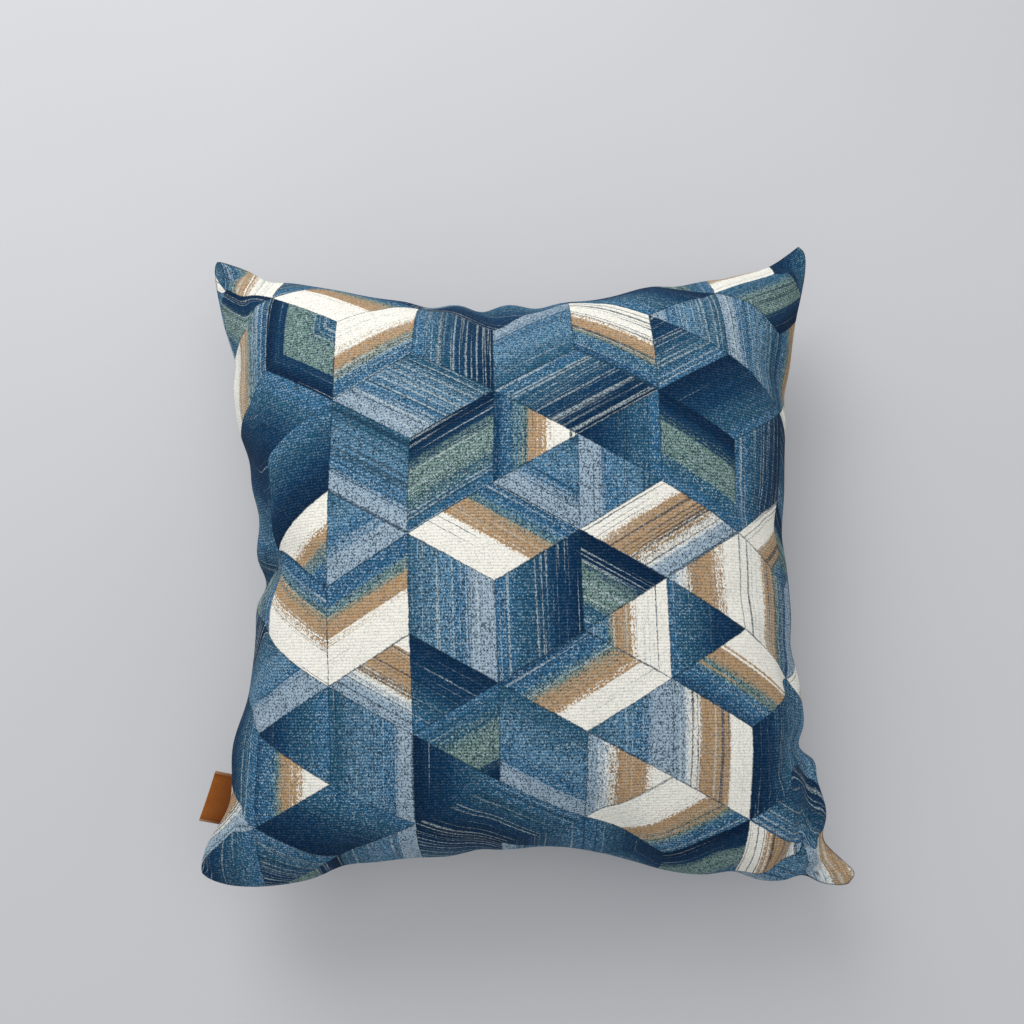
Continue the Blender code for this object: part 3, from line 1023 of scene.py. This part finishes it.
def label_leather(label, total):
    """Smooth brown leather: fine grain, burnished near its cut edges, with a painted highlight at its
    fold and painted shade toward the seam.
    """
    paint = Shades("label_brown_leather")
    strip = paint.node("UVMap", uv_map=LABEL_MAP).outputs["UV"]
    x, y, _ = paint.split(strip)
    cells = {"Vector": strip, "Scale": 1500.0}
    cells = paint.number("TexVoronoi", cells, output="Distance", feature="DISTANCE_TO_EDGE")
    crease = cells.between(0.02, 0.22)
    mottle = paint.rough(strip, 120.0, 3.0)
    pore = paint.rough(strip, 2600.0, 2.0)
    edge = label.along_seam / 2.0 - abs(x)
    from_fold = abs(y - total / 2.0)
    dark = toned(label.colour, LEATHER_DARK_AND_SHADE)
    colour = label.colour
    for share, tone in (
        (mottle.between(0.3, 0.7), toned(label.colour, LEATHER_LIGHT)),
        (edge.between(0.0006, 0.0040, 0.7, 0.0), dark),
        (edge.between(0.0009, 0.0016, 0.85, 0.0), label.raw_colour),
        # A painted highlight at the fold, then painted shade darkening the strip from the fold toward
        # the seam.
        (from_fold.between(0.0005, 0.0050, 0.45, 0.0), toned(label.colour, LEATHER_PAINTED_HIGHLIGHT)),
        (from_fold.between(0.0030, 0.0130, 0.0, 0.80), dark),
        ((1.0 - crease) * 0.35, dark),
    ):
        colour = paint.tint(share, colour, tone)
    height = crease * 0.05 + pore * 0.02 + mottle * 0.12
    dull = mottle.between(0.3, 0.7, 0.52, 0.40)
    return paint.finish(colour, dull, height, {"Specular IOR Level": 0.12})


def cut_leather(label):
    """The raw cut edge of the leather, pale and fibrous."""
    paint = Shades("label_cut_edge")
    fibre = paint.rough(paint.node("TexCoord").outputs["Object"], 2200.0, 3.0, 0.7)
    dark = toned(label.raw_colour, (0.5, 0.5, 0.5))
    colour = paint.tint(fibre.between(0.35, 0.65), dark, label.raw_colour)
    return paint.finish(colour, 0.85, fibre * 0.12, {"Specular IOR Level": 0.3})


def plain_floor(colour):
    """A plain pale floor with a trace of unevenness."""
    paint = Shades("pale_floor")
    mottle = paint.rough(paint.node("TexCoord").outputs["Object"], 3.0, 2.0)
    shade = paint.tint(mottle.between(0.3, 0.7), toned(colour, (0.98, 0.98, 0.98)), colour)
    return paint.finish(shade, 0.9, mottle * 0.01, {"Specular IOR Level": 0.2})


class CUSHION_OT_make_cover(bpy.types.Operator):
    """Make the filled cover: two printed panels sewn together and pushed out by their filling."""

    bl_idname = "cushion.make_cover"
    bl_label = "Make cover"

    def execute(self, context):
        cover = context.scene.cushion_cover
        piece = new_piece("filled_cover", sewn_panels(cover))
        places = flat_places(piece.data)
        points = settle(piece, cover)
        points = crowned_points(points, cover)
        points = push_seam_out(points, places, cover)
        points = fit_outline(points, places, cover)
        points = press_folds(points, places)
        points[:, 2] = laid_heights(points[:, 2], cover)
        piece.data.vertices.foreach_set("co", points.ravel())
        lay_cloth(piece.data, points, places)
        piece.data.update()
        piece.data.materials.append(printed_cloth(context.scene.cushion_print))
        finer = piece.modifiers.new("finer cloth", "SUBSURF")
        finer.levels = finer.render_levels = 1
        finer.uv_smooth = "PRESERVE_BOUNDARIES"
        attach(piece, "root")
        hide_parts(COVER_NODE)
        return {"FINISHED"}


def left_seam(piece, place):
    """The left seam's line, as a function from a distance along it to a point of it."""
    places = flat_places(piece.data)
    on_left = np.nonzero(places[:, 0] < -ON_SEAM)[0]
    on_left = on_left[np.argsort(places[on_left, 1])]
    line = np.array([piece.data.vertices[int(index)].co[:] for index in on_left])
    runs = np.append(0.0, np.cumsum(np.linalg.norm(np.diff(line, axis=0), axis=1)))
    middle = np.interp(place, places[on_left, 1], runs)

    def on_seam(distance):
        """The point of the seam at a distance along it from the place."""
        return Vector([np.interp(middle + distance, runs, line[:, axis]) for axis in range(3)])

    return on_seam


def fold_place(share, leg, turn):
    """How far along the strip a row of its grid is."""
    if share < LABEL_FOLD_START:
        return leg * share / LABEL_FOLD_START
    if share < LABEL_FOLD_END:
        return leg + turn * (share - LABEL_FOLD_START) / (LABEL_FOLD_END - LABEL_FOLD_START)
    return leg + turn + leg * (share - LABEL_FOLD_END) / (1.0 - LABEL_FOLD_END)


def folded_strip(label, on_seam, leg, gap):
    """The label's strip, folded in two, with both ends caught in the seam.

    Each layer is a straight leg, this gap from the middle, and the fold between them is round.
    """
    half = label.along_seam / 2.0
    turn = pi * gap
    total = 2.0 * leg + turn
    start, end = on_seam(-half), on_seam(half)
    run = (end - start).normalized()
    outward = Vector((-run.y, run.x, 0.0)).normalized()
    outward = (outward + Vector((LABEL_SWING, 0.0, 0.0))).normalized()
    upward = run.cross(outward).normalized()
    upward = upward if upward.z > 0.0 else -upward

    bm = bmesh.new()
    strip = bm.loops.layers.uv.new(LABEL_MAP)
    bmesh.ops.create_grid(bm, x_segments=LABEL_FOLD_STEPS, y_segments=LABEL_STEPS, size=0.5)
    for face in bm.faces:
        for loop in face.loops:
            loop[strip].uv = (loop.vert.co.y * label.along_seam, (loop.vert.co.x + 0.5) * total)
    for vertex in bm.verts:
        distance = fold_place(vertex.co.x + 0.5, leg, turn)
        along = vertex.co.y * label.along_seam
        if distance < leg:
            reach, height = distance, gap
        elif distance < leg + turn:
            angle = (distance - leg) / gap
            reach, height = leg + gap * sin(angle), gap * cos(angle)
        else:
            reach, height = total - distance, -gap
        out = max(0.0, reach) / label.reach
        share = min(1.0, out)
        height += LABEL_BOW * sin(pi * share) * (1.0 if height > 0.0 else -1.0)
        height += LABEL_CURL * out ** 2 * (along / half) ** 2
        height += LABEL_LEAN * along * share
        straight = start.lerp(end, vertex.co.y + 0.5)
        vertex.co = on_seam(along).lerp(straight, share) + outward * (reach - LABEL_TUCK)
        vertex.co += upward * height
    bmesh.ops.recalc_face_normals(bm, faces=bm.faces[:])
    return bm


class CUSHION_OT_make_label(bpy.types.Operator):
    """Make the leather strip, folded in two with both ends caught in the left seam."""

    bl_idname = "cushion.make_label"
    bl_label = "Make label"

    def execute(self, context):
        label = context.scene.cushion_label
        gap = (label.leather + LABEL_LAYER_GAP) / 2.0
        leg = label.reach + LABEL_TUCK - gap - label.leather / 2.0
        total = 2.0 * leg + pi * gap
        on_seam = left_seam(bpy.data.objects["filled_cover"], label.place)
        piece = new_piece("side_label_strip", folded_strip(label, on_seam, leg, gap))
        piece.data.materials.append(label_leather(label, total))
        piece.data.materials.append(cut_leather(label))
        shell = piece.modifiers.new("leather", "SOLIDIFY")
        shell.thickness = label.leather
        shell.offset = 0.0
        shell.material_offset_rim = 1
        rounded = piece.modifiers.new("eased edges", "BEVEL")
        rounded.width = LABEL_EASED_EDGE
        rounded.segments = 2
        rounded.limit_method = "ANGLE"
        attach(piece, "root")
        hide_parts(LABEL_NODE)
        return {"FINISHED"}


class CUSHION_OT_make_stage(bpy.types.Operator):
    """Make the pale floor, the soft light and the camera."""

    bl_idname = "cushion.make_stage"
    bl_label = "Make stage"

    def execute(self, context):
        scene = context.scene
        stage = scene.cushion_stage
        bm = bmesh.new()
        bmesh.ops.create_grid(bm, x_segments=8, y_segments=8, size=FLOOR_HALF_SIDE)
        bmesh.ops.translate(bm, verts=bm.verts[:], vec=(0.0, 0.0, -FLOOR_DROP))
        floor = new_piece("floor", bm)
        floor.data.materials.append(plain_floor(stage.floor))

        world = bpy.data.worlds.new("even light")
        world.use_nodes = True
        sky = world.node_tree.nodes["Background"]
        sky.inputs["Color"].default_value = SKY_COLOUR
        sky.inputs["Strength"].default_value = stage.sky_strength
        scene.world = world

        for name, place, size, share in LIGHTS:
            light = bpy.data.lights.new(name, "AREA")
            light.shape = "SQUARE"
            light.size = size
            light.energy = stage.key_power * share
            lamp = bpy.data.objects.new(name, light)
            lamp.location = place
            aim = Vector(LIT_POINT) - lamp.location
            lamp.rotation_euler = aim.to_track_quat("-Z", "Y").to_euler()
            scene.collection.objects.link(lamp)

        camera = bpy.data.cameras.new("camera")
        camera.sensor_width = 36.0
        camera.lens = stage.lens
        camera.clip_start = 0.01
        rise, turn, roll = stage.elevation, stage.turn, stage.roll
        back = Vector((sin(turn) * cos(rise), -cos(turn) * cos(rise), sin(rise)))
        level = Vector((cos(turn), sin(turn), 0.0))
        upright = back.cross(level)
        right = level * cos(roll) + upright * sin(roll)
        up = back.cross(right)
        viewer = bpy.data.objects.new("camera", camera)
        viewer.rotation_euler = Matrix((right, up, back)).transposed().to_euler()
        viewer.location = Vector(stage.aim) + back * stage.distance
        scene.collection.objects.link(viewer)
        scene.camera = viewer
        scene.view_settings.view_transform = "Standard"
        return {"FINISHED"}


# Each group of settings, by its name in the scene, and the operator that it belongs to.
SETTINGS = {
    "cushion_cover": (CushionCoverSettings, CUSHION_OT_make_cover),
    "cushion_print": (CushionPrintSettings, None),
    "cushion_label": (CushionLabelSettings, CUSHION_OT_make_label),
    "cushion_stage": (CushionStageSettings, CUSHION_OT_make_stage),
}


class CUSHION_PT_panel(bpy.types.Panel):
    """The cushion cover's settings and steps."""

    bl_idname = "CUSHION_PT_panel"
    bl_label = "Cushion cover"
    bl_space_type = "VIEW_3D"
    bl_region_type = "UI"
    bl_category = "Cushion"

    def draw(self, context):
        for group, (_, operator) in SETTINGS.items():
            box = self.layout.box()
            settings = getattr(context.scene, group)
            for name in settings.__annotations__:
                box.prop(settings, name)
            if operator:
                box.operator(operator.bl_idname)


CLASSES = (
    *(settings for settings, _ in SETTINGS.values()),
    *(operator for _, operator in SETTINGS.values() if operator),
    CUSHION_PT_panel,
)


def register():
    """Add the classes and the scene's settings."""
    for item in CLASSES:
        bpy.utils.register_class(item)
    for group, (settings, _) in SETTINGS.items():
        setattr(bpy.types.Scene, group, PointerProperty(type=settings))


def unregister():
    """Take the settings and classes away again."""
    for group in SETTINGS:
        delattr(bpy.types.Scene, group)
    for item in reversed(CLASSES):
        bpy.utils.unregister_class(item)


def main():
    register()
    bpy.ops.cushion.make_cover()
    bpy.ops.cushion.make_label()
    bpy.ops.cushion.make_stage()


if __name__ == "__main__":
    main()
